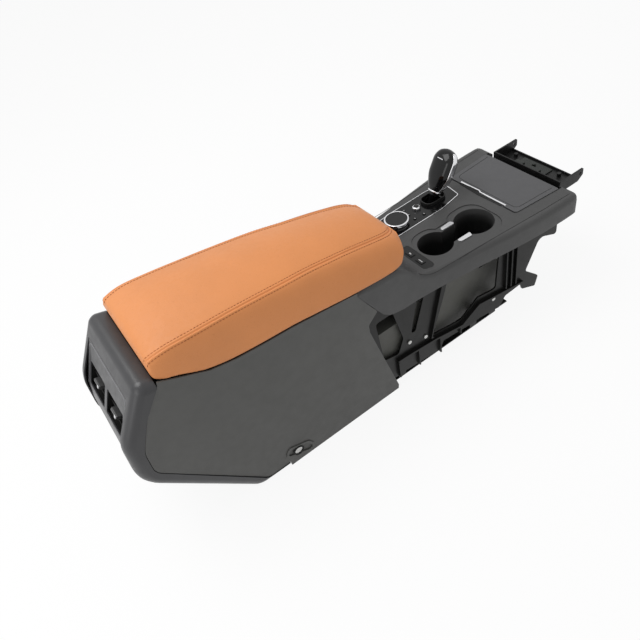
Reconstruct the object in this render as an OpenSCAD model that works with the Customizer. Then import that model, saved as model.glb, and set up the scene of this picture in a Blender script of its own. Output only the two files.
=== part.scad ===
// Car center console: armrest over a storage bin, rear air vents, shifter deck,
// two cups and a front compartment on an open carrier frame.
// x runs forward from the rear face, y to the left, z up from the floor.

/* [Deck] */
// Height of the flat deck above the floor
deck_z = 287; // [280:1:292]
// Half width of the deck at the armrest
deck_half = 114; // [110:1:118]
// Half width that the deck gains towards the front
flare = 41; // [30:1:46]
// Front end of the top cover
cover_front = 1106; // [1100:1:1112]
// Drop from the deck to the lower edge of the skirt
skirt_drop = 49; // [44:1:54]

/* [Rear] */
// Half width of the rear trim and side panels at the back
rear_half = 124; // [120:1:128]
// Height of the rear trim
trim_top = 451; // [449:1:452]
// Rounding of the rear trim's side edges
trim_round = 20; // [16:1:22]
// Half width of the vent panel
vent_half = 97; // [94:1:100]
// Height of each air outlet, along its sloping face
outlet_h = 54; // [50:1:56]
// Width of the post between the air outlets
outlet_post = 12; // [10:1:16]

/* [Armrest] */
// Half width of the armrest's lower edge
arm_half = 120; // [116:1:122]
// Height of the hinge pin of the armrest
hinge_z = 455; // [454:0.5:456]
// Distance of the hinge pin from the rear face
hinge_x = 120; // [119:0.5:122]
// Diameter of the armrest's hinge pin
pin_d = 5; // [4:0.5:6]

/* [Storage bin] */
// Rear wall of the bin
bin_rear = 150; // [150:1:156]
// Front wall of the bin
bin_front = 512; // [480:1:514]
// Half width of the bin
bin_half = 92; // [80:1:96]
// Height of the bin's floor
bin_floor = 190; // [150:1:220]

/* [Cups] */
// Diameter of the rear cup
cup_rear_d = 80; // [74:1:82]
// Diameter of the front cup
cup_front_d = 84; // [78:1:86]
// Depth of the cups under the deck
cup_depth = 72; // [60:1:80]

/* [Shifter] */
// Length of the lever from its pivot to the top
lever_len = 172; // [160:1:180]
// Forward lean of the lever
lever_lean = 30; // [24:1:34]
// Diameter of the rotary knob
knob_d = 58; // [54:1:62]
// Height of the rotary knob over the deck
knob_h = 14; // [12:1:18]
// Diameter of the small knob
dial_d = 19; // [16:1:22]
// Diameter of a menu button
menu_d = 7; // [6:0.5:8]

/* [Frame] */
// Thickness of the side frames
frame_t = 4; // [3:0.5:5]
// Height of the frame's rear foot over the floor
rail_z = 26; // [20:1:32]
// Radius of the bolt holes in the floor tray
bolt_r = 4.5; // [3:0.5:6]
// Length between the bolt holes
bolt_dx = 560; // [500:10:580]
// Width between the bolt holes
bolt_dy = 120; // [100:5:140]
// Length of the bracket's two prongs in front of the cover
prong_reach = 80; // [70:1:90]
// Half distance between the prongs' outer faces
prong_half = 103; // [99:1:105]
// Radius of the hole in each prong
prong_hole_r = 3.25; // [2:0.25:4]

/* [Fits] */
// Wall thickness of the mouldings
wall = 3; // [2.5:0.25:3.5]
// Gap between a moving piece and its opening
play = 0.5; // [0.4:0.1:0.8]
// Running clearance of pins, on the radius
run = 0.05; // [0.03:0.01:0.08]

/* [Hidden] */
$fn = 48;
eps = 1;
arc_steps = 6;
prong_front = cover_front + prong_reach;
flare_start = 620;
flare_end = 1060;

// Outline helpers: an outline is a list of [x, y, corner radius]
function unit(v) = v / norm(v);
function flat(p) = [p[0], p[1]];
function turn(u, v) = u[0] * v[1] - u[1] * v[0];
function spin(v, a) = [v[0] * cos(a) - v[1] * sin(a), v[0] * sin(a) + v[1] * cos(a)];
function at(list, i) = list[(i + len(list)) % len(list)];
function fillet(a, p, b, r) =
    r == 0 ? [p] :
    let (
        u = unit(a - p),
        v = unit(b - p),
        half = acos(u * v) / 2,
        c = p + unit(u + v) * r / sin(half),
        s = p + u * r / tan(half) - c,
        sweep = -sign(turn(u, v)) * (180 - 2 * half)
    )
    [for (i = [0:arc_steps]) c + spin(s, sweep * i / arc_steps)];
function rounded(pts) = [
    for (i = [0:len(pts) - 1])
        each fillet(flat(at(pts, i - 1)), flat(pts[i]), flat(at(pts, i + 1)), pts[i][2])
];
function left_of(a, b, d) = unit([a[1] - b[1], b[0] - a[0]]) * d;
function meet(p, u, q, v) = p + u * turn(q - p, v) / turn(u, v);
function inset(pts, d) = [
    for (i = [0:len(pts) - 1])
        let (
            a = flat(at(pts, i - 1)),
            p = flat(pts[i]),
            b = flat(at(pts, i + 1)),
            m = meet(p + left_of(a, p, d), p - a, p + left_of(p, b, d), b - p),
            side = sign(turn(p - a, b - p))
        )
        [m[0], m[1], pts[i][2] == 0 ? 0 : max(0.5, pts[i][2] - side * d)]
];
function box_outline(x0, y0, x1, y1, r) = [[x0, y0, r], [x1, y0, r], [x1, y1, r], [x0, y1, r]];

// Solids from outlines
module plate(outline, z0, z1) {
    translate([0, 0, z0]) linear_extrude(z1 - z0) polygon(rounded(outline));
}
module side_cut(outline, y0, y1) {
    translate([0, y1, 0]) rotate([90, 0, 0]) linear_extrude(y1 - y0) polygon(rounded(outline));
}
module bar(x, y, z) {
    translate([x[0], y[0], z[0]]) cube([x[1] - x[0], y[1] - y[0], z[1] - z[0]]);
}
module rod_y(x, z, r, y0, y1) {
    translate([x, y1, z]) rotate([90, 0, 0]) cylinder(r = r, h = y1 - y0);
}
module rod_z(x, y, r, z0, z1) {
    translate([x, y, z0]) cylinder(r = r, h = z1 - z0);
}
module both_sides() {
    children();
    mirror([0, 1, 0]) children();
}
// Skin over a row of closed sections with equal numbers of points
module loft(sections) {
    n = len(sections[0]);
    m = len(sections);
    first = [for (i = [0:n - 1]) i];
    last = [for (i = [n - 1:-1:0]) (m - 1) * n + i];
    skin = [
        for (k = [0:m - 2]) for (i = [0:n - 1])
            let (a = k * n + i, b = k * n + (i + 1) % n)
            each [[a, a + n, b], [b, a + n, b + n]]
    ];
    polyhedron([for (s = sections) each s], concat([first, last], skin));
}
// Slab across y whose outline is rounded over towards both sides
module soft_slab(outline, half, r) {
    turns = [90, 67, 45, 22, 0];
    steps = concat(
        [for (a = turns) [half - r + r * sin(a), r - r * cos(a)]],
        [for (i = [len(turns) - 1:-1:0]) [-half + r - r * sin(turns[i]), r - r * cos(turns[i])]]
    );
    loft([
        for (s = steps)
            [for (p = rounded(inset(outline, s[1]))) [p[0], s[0], p[1]]]
    ]);
}

// Plan of the console: half width of the deck and of the side panels along x
function ease(t) = let (c = min(1, max(0, t))) c * c * (3 - 2 * c);
function half_w(x) = deck_half + flare * ease((x - flare_start) / (flare_end - flare_start));
skirt_out = 3;
panel_front = 583;
function panel_w(x) =
    rear_half + (deck_half + skirt_out - rear_half) * max(0, x - 30) / (panel_front - 30);

// Side outlines, x and z
trim_end = 270;
rear_outline = [
    [trim_end + 30, 0, 0], [trim_end + 30, trim_top - 75, 0], [109, trim_top - 8, 0],
    [78, trim_top + 1, 20], [6, 337, 100], [-3, 233, 90], [189, 0, 40]
];
rear_x = min([for (p = rounded(rear_outline)) p[0]]);
gap_line = [[trim_end, 13, 0], [214, 13, 25], [29, 247, 40], [33, 308, 70], [66, 376, 150], [109, 431, 0]];
panel_gap = 1;
wing_rear = 517;
mid_x = (rear_x + prong_front) / 2;

// Lower edge, seam and crown of the armrest along x
arm_rear = 110;
arm_low = [
    [110, 450], [112, 443], [150, 424], [200, 399], [250, 388], [310, 382], [370, 378],
    [440, 369], [520, 359], [607, 353], [628, 354], [645, 369], [654, 382],
    [660, 396]
];
arm_seam = [
    [110, 462], [116, 475], [155, 481], [199, 478], [290, 469], [387, 457], [436, 450],
    [487, 440], [540, 430], [596, 417], [645, 404], [660, 397.5]
];
arm_crown = [
    [110, 468], [114, 476], [122, 483], [140, 488], [180, 492], [240, 490], [300, 484],
    [400, 471], [500, 452], [600, 429], [645, 414], [654, 406], [660, 398.5]
];
seam_half = [[110, 101], [155, 104], [290, 97], [387, 91], [487, 82], [596, 75], [628, 71], [645, 64],
    [654, 54], [660, 40]];
low_half = [[110, -7], [116, -3], [132, 0], [500, -1], [607, -2], [628, -5], [645, -14],
    [654, -30], [660, -52]];
lid_gap = 1.5;

// Bin rim and panel tops follow the armrest's lower edge
function under_arm(x) = lookup(x, arm_low) - lid_gap;
under_x = [150, 200, 250, 310, 370, 440, bin_front];

module set_down() {
    translate([-mid_x, 0, 0]) children();
}

// Floor tray that carries the bin and both side frames
tray_rear = 215;
tray_front = 925;
tray_half = 96;
bolt_x = (tray_rear + tray_front) / 2;
module floor_tray() {
    color([0.10, 0.10, 0.10])
    difference() {
        union() {
            plate(box_outline(tray_rear, -tray_half, tray_front, tray_half, 18), 0, wall);
            for (x = [tray_rear + 30 : 85 : tray_front - 30])
                bar([x, x + wall], [-tray_half + 12, tray_half - 12], [0, 12]);
            both_sides() frame_feet();
        }
        for (sx = [-1, 1]) for (sy = [-1, 1])
            rod_z(bolt_x + sx * bolt_dx / 2, sy * bolt_dy / 2, bolt_r, -eps, 20);
        plate(box_outline(640, -60, 800, 60, 20), -eps, 40);
    }
}
// Feet that reach from the tray out to the side frames
foot_x = [600, 700, 830, 895];
module frame_feet() {
    for (x = foot_x)
        intersection() {
            bar([x, x + 22], [tray_half - 20, 200], [0, rail_top(x)]);
            union() {
                bar([x, x + 22], [tray_half - 20, tray_half], [0, 60 + wall]);
                bar([x, x + 22], [tray_half - wall, half_w(x) - frame_in - frame_t], [60, 60 + wall]);
            }
        }
}

// Side frames: rail, uprights, strut and front post in one moulding
frame_in = 6;
frame_rear = 530;
frame_front = 1052;
frame_plan_x = [530, 620, 700, 780, 860, 940, 1000, 1052];
frame_top = deck_z - wall - 3;
function rail_top(x) = lookup(x, [[560, 92], [780, 84], [830, 126], [1052, 126]]);
frame_shell = [
    [540, rail_z + 100, 0], [560, rail_z + 4, 6], [716, rail_z, 4], [728, rail_z + 26, 4], [812, rail_z + 30, 4],
    [830, 62, 3], [890, 64, 6], [905, 92, 10], [950, 104, 6], [956, 84, 3], [996, 70, 3],
    [1004, 100, 8], [962, 138, 10], [999, 221, 16], [frame_front, 200, 6], [frame_front, frame_top, 0],
    [frame_rear, frame_top, 0], [frame_rear, 260, 0]
];
window_rear = [[560, 110, 6], [600, 100, 8], [618, 140, 20], [598, 236, 8], [552, 236, 8]];
window_slot = [[640, 140, 5], [652, 140, 5], [684, 236, 5], [664, 236, 5]];
window_front = [[690, 92, 6], [778, 90, 6], [826, 134, 8], [876, 134, 8], [884, 250, 8], [742, 250, 8]];
module frame_strip(t0, t1) {
    outer = [for (x = frame_plan_x) [x, half_w(x) - t0]];
    inner = [for (i = [len(frame_plan_x) - 1:-1:0]) [frame_plan_x[i], half_w(frame_plan_x[i]) - t1]];
    translate([0, 0, -eps]) linear_extrude(deck_z) polygon(concat(outer, inner));
}
rib_top = deck_z - skirt_drop - 1;
module side_frame() {
    difference() {
        intersection() {
            side_cut(frame_shell, 60, 180);
            union() {
                frame_strip(frame_in, frame_in + frame_t);
                intersection() {
                    frame_strip(frame_in - 8, frame_in + frame_t);
                    rail_ribs();
                }
            }
        }
        side_cut(window_rear, 60, 180);
        side_cut(window_slot, 60, 180);
        side_cut(window_front, 60, 180);
        for (p = stud_points) rod_y(p[0], p[1], 2.6, 60, 180);
    }
}
// Ribs, rail lip and post flutes that stand out of the side frame
stud_points = [[632, 118], [677, 104], [868, 106]];
module rail_ribs() {
    side_cut([[592, 82, 0], [780, 74, 0], [828, 114, 0], [950, 114, 0], [950, 119, 0], [824, 119, 0],
        [776, 79, 0], [592, 87, 0]], 60, 180);
    for (x = [592, 650, 712, 770]) bar([x, x + wall], [60, 180], [rail_z, 80]);
    for (x = [898, 912, 926]) bar([x, x + wall], [60, 180], [124, rib_top]);
    side_cut([[688, 92, 0], [702, 92, 0], [736, rib_top, 0], [724, rib_top, 0]], 60, 180);
}
module side_frame_left() {
    color([0.07, 0.07, 0.07]) side_frame();
}
module side_frame_right() {
    color([0.07, 0.07, 0.07]) mirror([0, 1, 0]) side_frame();
}

// Screws and clips in the side frames, seen as bright studs
stud_r = 5;
module frame_screws() {
    color([0.75, 0.75, 0.76])
    both_sides()
        for (p = stud_points) {
            y = half_w(p[0]) - frame_in;
            rod_y(p[0], p[1], stud_r, y + 1, y + 4);
            rod_y(p[0], p[1], 2.5, y - frame_t - 6, y + 1.5);
        }
}

// Front bracket: shelf between two prongs, carried under the deck
bracket_rear = 1040;
bracket_floor = deck_z - 40;
prong_t = 4;
bracket_shelf = deck_z - 26;
prong_profile = [
    [cover_front + 1, bracket_shelf, 0], [prong_front - 16, bracket_shelf, 8], [prong_front, deck_z - 14, 5],
    [prong_front, deck_z + 3, 3], [cover_front + 1, deck_z + 3, 0]
];
prong_hole_x = prong_front - 10;
prong_hole_z = deck_z - 7;
module front_bracket() {
    inner = [-prong_half + 1, prong_half - 1];
    color([0.06, 0.06, 0.06])
    difference() {
        union() {
            both_sides() side_cut(prong_profile, prong_half - prong_t, prong_half);
            bar([bracket_rear, cover_front + 4], inner, [bracket_floor, bracket_floor + wall]);
            bar([cover_front + 1, prong_front - 12], inner, [bracket_shelf, bracket_shelf + wall]);
            bar([cover_front + 1, cover_front + 4], inner, [bracket_floor + 1, deck_z + 4]);
            bar([prong_front - 15, prong_front - 12], inner, [bracket_shelf + 1, bracket_shelf + 8]);
            for (y = [-60, 74]) rod_z(prong_front - 30, y, 5, bracket_shelf + 1, bracket_shelf + 12);
        }
        both_sides()
            rod_y(prong_hole_x, prong_hole_z, prong_hole_r, prong_half - prong_t - eps, prong_half + eps);
    }
}

// Circuit board with sockets on the bracket's tray
module_y = [-34, 52];
board_z = bracket_shelf + wall;
module control_module() {
    color([0.12, 0.10, 0.09])
    union() {
        bar([cover_front + 10, prong_front - 22], module_y, [board_z, board_z + 3]);
        bar([cover_front + 12, cover_front + 26], [module_y[0] + 8, module_y[0] + 34], [board_z + 2, board_z + 16]);
        bar([cover_front + 13, cover_front + 24], [module_y[1] - 30, module_y[1] - 6], [board_z + 2, board_z + 18]);
        rod_z(prong_front - 40, 8, 4.5, board_z + 2, board_z + 12);
    }
}

// Storage bin with a skirt that stands on the floor tray
bin_r = 18;
module bin_block(half, grow, z0) {
    rim = concat(
        [[bin_rear - grow, z0], [bin_front + grow, z0]],
        [for (i = [len(under_x) - 1:-1:0])
            [under_x[i] <= bin_rear ? bin_rear - grow : under_x[i] >= bin_front ? bin_front + grow : under_x[i],
             under_arm(under_x[i])]]
    );
    intersection() {
        translate([0, half, 0]) rotate([90, 0, 0]) linear_extrude(2 * half) polygon(rim);
        plate(box_outline(bin_rear - grow, -half, bin_front + grow, half, bin_r + grow), z0 - eps, 480);
        side_cut(inset(bin_side, -grow), -half, half);
    }
}
// The bin's skirt stays in front of the sloping lower rear panel
bin_side = [[240, 0, 0], [bin_front, 0, 0], [bin_front, 480, 0], [bin_rear, 480, 0], [bin_rear, 122, 0]];
module storage_bin() {
    color([0.13, 0.13, 0.13])
    difference() {
        bin_block(bin_half, 0, wall);
        plate(box_outline(bin_rear + wall, -bin_half + wall, bin_front - wall, bin_half - wall, bin_r - wall),
            bin_floor + wall, 500);
        bar([bin_rear + wall, bin_front - wall], [-bin_half + wall, bin_half - wall], [-eps, bin_floor]);
        for (x = [bin_rear + 66, bin_rear + 210])
            bar([x, x + 110], [-200, 200], [40, bin_floor - 30]);
    }
}
mat_t = 2;
module bin_mat() {
    color([0.09, 0.09, 0.09])
    plate(box_outline(bin_rear + wall + 1, -bin_half + wall + 1, bin_front - wall - 1, bin_half - wall - 1,
        bin_r - wall - 1), bin_floor + wall, bin_floor + wall + mat_t);
}

// Closed channel between the side frames, seen behind their windows
channel_rear = bin_front + 0.3;
channel_z = 60 + wall + 0.3;
channel_top = deck_z - 103;
channel_side = [
    [channel_rear, channel_z, 0], [890, channel_z, 20], [930, 76, 10], [930, 168, 10],
    [905, channel_top, 20], [channel_rear, channel_top, 0]
];
channel_step = deck_z - cup_depth - wall - 4;
module channel_solid(d) {
    side_cut(inset(channel_side, d), -tray_half + d, tray_half - d);
    bar([640 + d, 860 - d], [-tray_half + d, 28 - d], [channel_z + 10, channel_step - d]);
}
module air_channel() {
    color([0.24, 0.24, 0.25])
    difference() {
        channel_solid(0);
        channel_solid(wall);
        bar([880, 940], [-80, 80], [80, 160]);
    }
}

// Side panels between the rear trim, the armrest and the cover's wing
boss = [[262, 34, 12], [322, 8, 14], [342, 16, 12], [326, 44, 14], [276, 62, 12]];
boss_mid = [297, 36];
panel_top_x = [517, 440, 370, 310, 250, 200, 150, 112];
panel_outline = concat(
    [[trim_end + 2, 0, 0], [panel_front - 2, 0, 0], [panel_front, 12, 6], [546, 167, 60], [530, 236, 20], [530, 257, 10],
     [556, 280, 4], [516, 349, 3]],
    [for (x = panel_top_x) [x, under_arm(x), 0]],
    [for (i = [len(gap_line) - 1:-1:0]) [gap_line[i][0] + panel_gap, gap_line[i][1] + panel_gap, gap_line[i][2]]]
);
module side_panel() {
    difference() {
        union() {
            intersection() {
                side_cut(panel_outline, 60, 180);
                linear_extrude(500) polygon([
                    [0, panel_w(0)], [panel_front + 4, panel_w(panel_front + 4)],
                    [panel_front + 4, panel_w(panel_front + 4) - wall], [0, panel_w(0) - wall]
                ]);
            }
            side_cut(boss, panel_w(300) - wall, panel_w(300) + 2);
            for (p = clip_points)
                rod_y(p[0], p[1], clip_r + 3, bin_half, panel_w(p[0]) - wall / 2);
        }
        for (p = clip_points)
            rod_y(p[0], p[1], clip_r, bin_half - eps, panel_w(p[0]) - wall);
        side_cut(inset(boss, 6), panel_w(300) - 1, panel_w(300) + 3);
    }
}
module side_panel_left() {
    color([0.30, 0.30, 0.29]) side_panel();
}
module side_panel_right() {
    color([0.30, 0.30, 0.29]) mirror([0, 1, 0]) side_panel();
}

// Push clips inside the panel's posts, and the slotted clip in each boss
clip_r = 4;
clip_points = [[190, 330], [190, 176], [480, 330], [480, 176]];
module panel_clips() {
    color([0.72, 0.72, 0.73])
    both_sides() {
        for (p = clip_points)
            rod_y(p[0], p[1], clip_r - 0.1, bin_half, bin_half + 14);
        difference() {
            rod_y(boss_mid[0], boss_mid[1], 9.5, panel_w(300) - 1, panel_w(300) + 1.5);
            bar([boss_mid[0] - 6, boss_mid[0] + 6], [panel_w(300) + 0.5, panel_w(300) + 3],
                [boss_mid[1] - 1.5, boss_mid[1] + 1.5]);
        }
    }
}

// Rear trim: one hoop with a rounded rear rim and two side bands
trim_band = concat([[-60, -60, 0], [trim_end, -60, 0]], gap_line, [[109, 500, 0], [-60, 500, 0]]);
module rear_trim() {
    color([0.27, 0.27, 0.28])
    difference() {
        intersection() {
            soft_slab(rear_outline, rear_half, trim_round);
            side_cut(trim_band, -200, 200);
        }
        soft_slab(inset(rear_outline, wall), rear_half - wall, trim_round - wall);
        bar([-60, 150], [-vent_half - play, vent_half + play], [-60, vent_top[1] + 1]);
        bar([100, 400], [-vent_half - play, vent_half + play], [-60, 200]);
    }
}
lower_recess = wall + 0.3;
panel_edge = 104;
module lower_rear_panel() {
    color([0.20, 0.20, 0.20])
    intersection() {
        difference() {
            soft_slab(inset(rear_outline, lower_recess), rear_half - lower_recess, trim_round - lower_recess);
            soft_slab(inset(rear_outline, lower_recess + wall), rear_half - lower_recess - wall, 3);
        }
        bar([-10, tray_rear - 1], [-panel_edge, panel_edge], [4, vent_low[1] - 1]);
    }
}

// Vent panel: sloping face with two outlets, rolled in at its lower edge
vent_top = [57, 418];
vent_mid = [27, 354];
vent_low = [12, 262];
vent_tilt = atan2(45, 92);
panel_skin = 3.5;
vent_face = [[57, 417.5, 0], [12, 325.5, 40], [4, 288, 18], [12, 262, 0]];
module vent_panel() {
    color([0.28, 0.28, 0.29])
    difference() {
        side_cut(concat(vent_face, [for (i = [3:-1:0]) [vent_face[i][0] + panel_skin, vent_face[i][1], vent_face[i][2]]]),
            -vent_half, vent_half);
        in_vent() for (s = [-1, 1]) outlet_cut(s);
    }
}
module in_vent() {
    translate([vent_mid[0], 0, vent_mid[1]]) rotate([0, vent_tilt, 0]) children();
}
outlet_w = 78;
outlet_mid = (outlet_post + outlet_w) / 2;
module outlet_cut(s) {
    translate([-12, 0, 0]) rotate([90, 0, 90]) linear_extrude(24)
        polygon(rounded(box_outline(s * outlet_mid - outlet_w / 2, -outlet_h / 2,
            s * outlet_mid + outlet_w / 2, outlet_h / 2, 4)));
}

// Housing behind the outlets, with the bores of the vane pivots
house_x = [panel_skin - 0.5, 56];
house_wall = 3;
pocket_w = outlet_w + 2;
pocket_h = outlet_h + 4;
vane_x = 14;
vane_step = 17;
blade_x = 38;
blade_step = 13;
pivot_r = 1.5;
pivot_len = 2.4;
module vent_housing() {
    color([0.05, 0.05, 0.05])
    in_vent()
    difference() {
        bar(house_x, [-outlet_mid - pocket_w / 2 - house_wall, outlet_mid + pocket_w / 2 + house_wall],
            [-pocket_h / 2 - house_wall, pocket_h / 2 + house_wall]);
        for (s = [-1, 1]) {
            bar([-1, 60], [s * outlet_mid - pocket_w / 2, s * outlet_mid + pocket_w / 2],
                [-pocket_h / 2, pocket_h / 2]);
            for (k = [-1, 1])
                rod_z(blade_x, s * outlet_mid + k * blade_step, pivot_r + run,
                    -pocket_h / 2 - house_wall - eps, pocket_h / 2 + house_wall + eps);
        }
        for (k = [-1, 0, 1])
            rod_y(vane_x, k * vane_step, pivot_r + run, -outlet_mid - 60, outlet_mid + 60);
    }
}
// A vane that tips up and down, in the outlet on side s, at step k
vane_t = 2.4;
vane_chord = 14;
module vane(s, k) {
    in_vent() translate([0, s * outlet_mid, k * vane_step]) {
        side_cut([[vane_x - vane_chord / 2, -0.6, 0.5], [vane_x, -vane_t / 2, 0], [vane_x + vane_chord / 2, -0.6, 0.5],
            [vane_x + vane_chord / 2, 0.6, 0.5], [vane_x, vane_t / 2, 0], [vane_x - vane_chord / 2, 0.6, 0.5]],
            -pocket_w / 2 + play, pocket_w / 2 - play);
        rod_y(vane_x, 0, pivot_r, -pocket_w / 2 - pivot_len, pocket_w / 2 + pivot_len);
    }
}
// An upright blade behind the vanes
blade_chord = 16;
module blade(s, k) {
    in_vent() translate([blade_x, s * outlet_mid + k * blade_step, 0]) {
        plate([[-blade_chord / 2, -0.6, 0], [0, -1, 0], [blade_chord / 2, -0.6, 0],
            [blade_chord / 2, 0.6, 0], [0, 1, 0], [-blade_chord / 2, 0.6, 0]],
            -pocket_h / 2 + play, pocket_h / 2 - play);
        rod_z(0, 0, pivot_r, -pocket_h / 2 - pivot_len, pocket_h / 2 + pivot_len);
    }
}
// Tab that slides along the middle vane
tab_w = 28;
tab_h = 9;
tab_clear = 0.3;
module vent_tab(s) {
    in_vent() translate([0, s * outlet_mid, 0])
    difference() {
        side_cut([[-3, -tab_h / 2 + 1, 3], [vane_x - 3, -tab_h / 2, 1], [vane_x - 3, tab_h / 2, 1], [-3, tab_h / 2 - 1, 3]],
            -tab_w / 2, tab_w / 2);
        bar([vane_x - vane_chord / 2 - tab_clear, vane_x], [-tab_w, tab_w],
            [-vane_t / 2 - tab_clear, vane_t / 2 + tab_clear]);
    }
}
vane_gray = [0.16, 0.16, 0.16];
module vane_left_top() { color(vane_gray) vane(1, 1); }
module vane_left_middle() { color(vane_gray) vane(1, 0); }
module vane_left_bottom() { color(vane_gray) vane(1, -1); }
module vane_right_top() { color(vane_gray) vane(-1, 1); }
module vane_right_middle() { color(vane_gray) vane(-1, 0); }
module vane_right_bottom() { color(vane_gray) vane(-1, -1); }
module vent_tab_left() { color([0.4, 0.4, 0.4]) vent_tab(1); }
module vent_tab_right() { color([0.4, 0.4, 0.4]) vent_tab(-1); }
module blade_left_inner() { color(vane_gray) blade(1, -1); }
module blade_left_outer() { color(vane_gray) blade(1, 1); }
module blade_right_inner() { color(vane_gray) blade(-1, 1); }
module blade_right_outer() { color(vane_gray) blade(-1, -1); }

// Air duct from the back of the housing down behind the lower rear panel
duct_half = 40;
duct_front = 140;
duct_wall = 2;
function vent_point(x, z) = [
    vent_mid[0] + x * cos(vent_tilt) + z * sin(vent_tilt),
    vent_mid[1] - x * sin(vent_tilt) + z * cos(vent_tilt), 0
];
house_half = pocket_h / 2 + house_wall;
duct_low = vent_point(house_x[1], -house_half);
duct_high = vent_point(house_x[1], house_half);
module air_duct() {
    outline = [duct_low, [72, 240, 20], [112, 130, 0], [duct_front, 112, 0], [duct_front, duct_high[1], 16], duct_high];
    color([0.08, 0.08, 0.08])
    difference() {
        side_cut(outline, -duct_half, duct_half);
        side_cut([
            vent_point(house_x[1] - 4, -house_half + duct_wall), [72 + duct_wall, 240, 20],
            [112 + duct_wall - 3, 125, 0], [duct_front - duct_wall, 105, 0],
            [duct_front - duct_wall, duct_high[1] - duct_wall, 14], vent_point(house_x[1] - 4, house_half - duct_wall)
        ], -duct_half + duct_wall, duct_half - duct_wall);
    }
}

// Top cover: lofted skirt and deck with its openings
cover_x = [517, 558, 571, 585, 600, 623, 640, 655, 668, 680, 692, 705, 720, 760, 800, 840, 880, 920, 960, 1000, 1060, 1090];
cover_crown = [
    [517, 69], [600, 65], [628, 60], [645, 45], [660, 25], [680, 10], [700, 3], [720, 0], [1100, 0], [1106, -6]
];
cover_low = [[517, 347], [558, 279], [571, 259], [585, 247], [600, 242], [623, deck_z - skirt_drop + 2]];
function cover_z(x) = deck_z + lookup(x, cover_crown);
function cover_bottom(x) = x < 623 ? lookup(x, cover_low) : deck_z - skirt_drop;
function cover_section(x, d, drop) =
    let (
        w = half_w(x) + skirt_out - d,
        zt = cover_z(x) - d,
        zb = cover_bottom(x) - drop,
        s1 = max(zb + 1, zt - 14),
        s2 = max(zb + 2, zt - 5.4),
        s3 = max(zb + 3, zt - 1.3)
    )
    [[x, w, zb], [x, w, s1], [x, w - 1.8, s2], [x, w - 5.6, s3], [x, w - 11, max(zb + 3.5, zt)],
     [x, -w + 11, max(zb + 3.5, zt)], [x, -w + 5.6, s3], [x, -w + 1.8, s2], [x, -w, s1], [x, -w, zb]];
function shifted(section, dx) = [for (p = section) [p[0] + dx, p[1], p[2]]];
function pulled_in(x, d) = [for (p = cover_section(cover_front - 16, 0, 0)) [x, p[1] - sign(p[1]) * d, p[2] - (p[2] > deck_z - 20 ? d / 2 : 0)]];
module top_cover() {
    color([0.30, 0.30, 0.30])
    difference() {
        loft(concat(
            [for (x = cover_x) cover_section(x, 0, 0)],
            [pulled_in(cover_front - 6, 1), pulled_in(cover_front - 2, 4), pulled_in(cover_front, 9)]
        ));
        loft(concat(
            [shifted(cover_section(wing_rear, wall, 8), -2)],
            [for (x = cover_x) if (x > wing_rear && x < cover_front - 20) cover_section(x, wall, 8)],
            [shifted(cover_section(cover_front - 20, wall, 8), 20 - wall)]
        ));
        plate(inset(shifter_plan, -play), deck_z - 20, deck_z + 20);
        cup_outline(-play, deck_z - 20, deck_z + 20);
        plate(inset(switch_plan, -play), deck_z - 20, deck_z + 20);
        plate(inset(door_plan, -play), deck_z - 20, deck_z + 20);
        bar([cover_front - 8, cover_front + 20], [-prong_half - 2, prong_half + 2], [deck_z - skirt_drop - 5, deck_z + 20]);
    }
}

// Plans of the pieces set into the deck
shifter_plan = [
    [704, 26, 6], [870, 29, 60], [932, 41, 8], [938, 84, 12], [918, 108, 16], [884, 112, 40],
    [770, 109, 60], [704, 101, 6]
];
switch_plan = [[697, -100, 6], [727, -104, 10], [727, -10, 5], [697, -14, 8]];
door_plan = [[962, -104, 8], [1100, -114, 4], [1100, 114, 4], [962, 104, 8]];
flange = 2;

// Shifter panel with a raised collar seat, and bores for knobs and buttons
foot_at = [877, 73];
collar_h = 8;
pivot_z = deck_z - 42;
lever_at = [foot_at[0] - (deck_z + collar_h - pivot_z) * tan(lever_lean), foot_at[1]];
knob_at = [761, 66];
knob_stem_r = 15;
sleeve_t = 1.5;
knob_bore = knob_stem_r + sleeve_t + 2 * play;
dial_at = [827, 74];
menu_at = [[802, 90], [799, 69], [800, 48], [826, 46]];
slot_half = [22, 13];
collar_r = 20;
module shifter_panel() {
    color([0.05, 0.05, 0.05])
    difference() {
        union() {
            plate(shifter_plan, deck_z - wall - 1, deck_z);
            plate(inset(shifter_plan, -flange), deck_z - wall - 3, deck_z - wall);
        }
        rod_z(knob_at[0], knob_at[1], knob_bore, deck_z - 20, deck_z + eps);
        rod_z(dial_at[0], dial_at[1], 3 + run, deck_z - 20, deck_z + eps);
        for (p = menu_at) rod_z(p[0], p[1], menu_d / 2 + 0.15, deck_z - 20, deck_z + eps);
        bar([foot_at[0] - slot_half[0] - 6, foot_at[0] + slot_half[0] - 4],
            [foot_at[1] - slot_half[1], foot_at[1] + slot_half[1]], [deck_z - 20, deck_z + eps]);
        difference() {
            plate(inset(shifter_plan, strip_in), deck_z - strip_t, deck_z + eps);
            plate(inset(shifter_plan, strip_in + strip_w), deck_z - strip_t - eps, deck_z + 2 * eps);
        }
    }
}
strip_in = 1;
strip_w = 2;
strip_t = 1;
module chrome_strip() {
    color([0.82, 0.82, 0.83])
    difference() {
        plate(inset(shifter_plan, strip_in), deck_z - strip_t, deck_z + 0.6);
        plate(inset(shifter_plan, strip_in + strip_w), deck_z - strip_t - eps, deck_z + eps);
    }
}
// Collar around the lever's foot
collar_plan = box_outline(foot_at[0] - 30, foot_at[1] - 19, foot_at[0] + 31, foot_at[1] + 19, 15);
collar_hole = inset(collar_plan, 2.5);
module lever_collar() {
    color([0.12, 0.12, 0.12])
    difference() {
        plate(collar_plan, deck_z, deck_z + collar_h);
        plate(collar_hole, deck_z - eps, deck_z + collar_h + eps);
    }
}
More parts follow.
